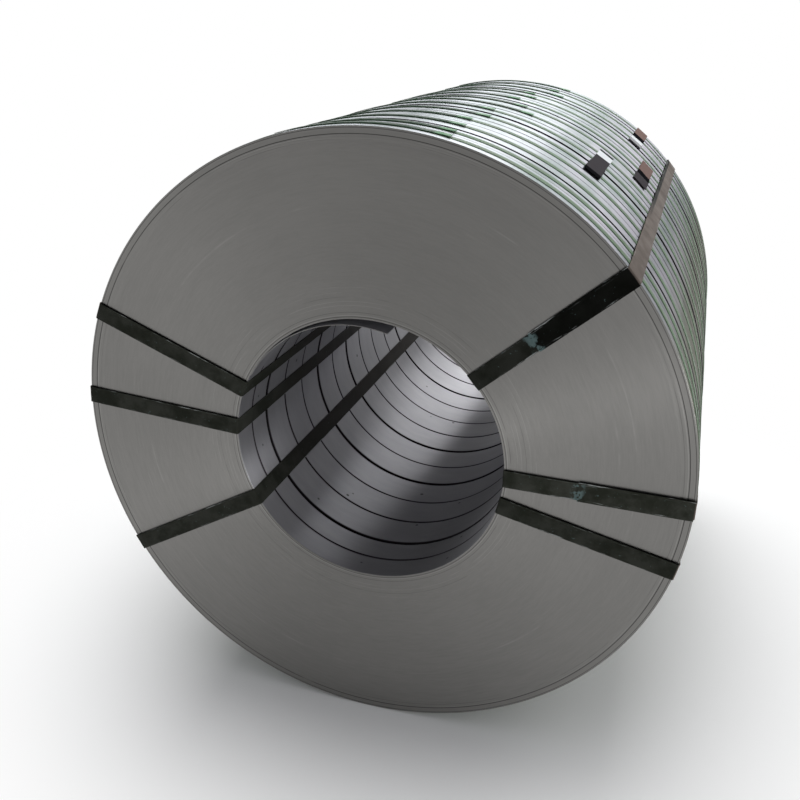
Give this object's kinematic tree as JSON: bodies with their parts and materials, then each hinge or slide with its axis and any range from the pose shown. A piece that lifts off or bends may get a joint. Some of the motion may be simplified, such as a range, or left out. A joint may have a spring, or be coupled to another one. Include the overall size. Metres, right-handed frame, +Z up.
{
  "type": "bundle of slit steel coils",
  "caption": "Round bundle of narrow slit steel coils on one axis, lying on its side, each held by a green plastic band and all bound by dark steel straps through the eye.",
  "frame": {"origin": "on the floor under the middle of the bundle", "axes": "+Y along the coil axis from the front end to the back end, +Z up, +X to the right seen from the front"},
  "size_m": [1.1468, 1.1822, 1.1458],
  "materials": {
    "strip_steel": "satin cold-rolled strip",
    "band_plastic": "ribbed green polyester band",
    "strap_steel": "dark waxed strapping",
    "tie_steel": "dark strip steel with a clamp"
  },
  "bodies": {
    "root": {"slit_coil_1": "strip_steel", "slit_coil_2": "strip_steel", "slit_coil_3": "strip_steel", "slit_coil_4": "strip_steel", "slit_coil_5": "strip_steel", "slit_coil_6": "strip_steel", "slit_coil_7": "strip_steel", "slit_coil_8": "strip_steel", "slit_coil_9": "strip_steel", "slit_coil_10": "strip_steel", "slit_coil_11": "strip_steel", "slit_coil_12": "strip_steel", "slit_coil_13": "strip_steel", "slit_coil_14": "strip_steel", "band_1": "band_plastic", "band_2": "band_plastic", "band_3": "band_plastic", "band_4": "band_plastic", "band_5": "band_plastic", "band_6": "band_plastic", "band_7": "band_plastic", "band_8": "band_plastic", "band_9": "band_plastic", "band_10": "band_plastic", "band_11": "band_plastic", "band_12": "band_plastic", "band_13": "band_plastic", "band_14": "band_plastic", "strap_1": "strap_steel", "strap_2": "strap_steel", "strap_3": "strap_steel", "strap_4": "strap_steel", "strap_5": "strap_steel", "strap_6": "strap_steel", "tie_plate_1": "tie_steel", "tie_plate_2": "tie_steel", "tie_plate_3": "tie_steel"}
  },
  "joints": []
}
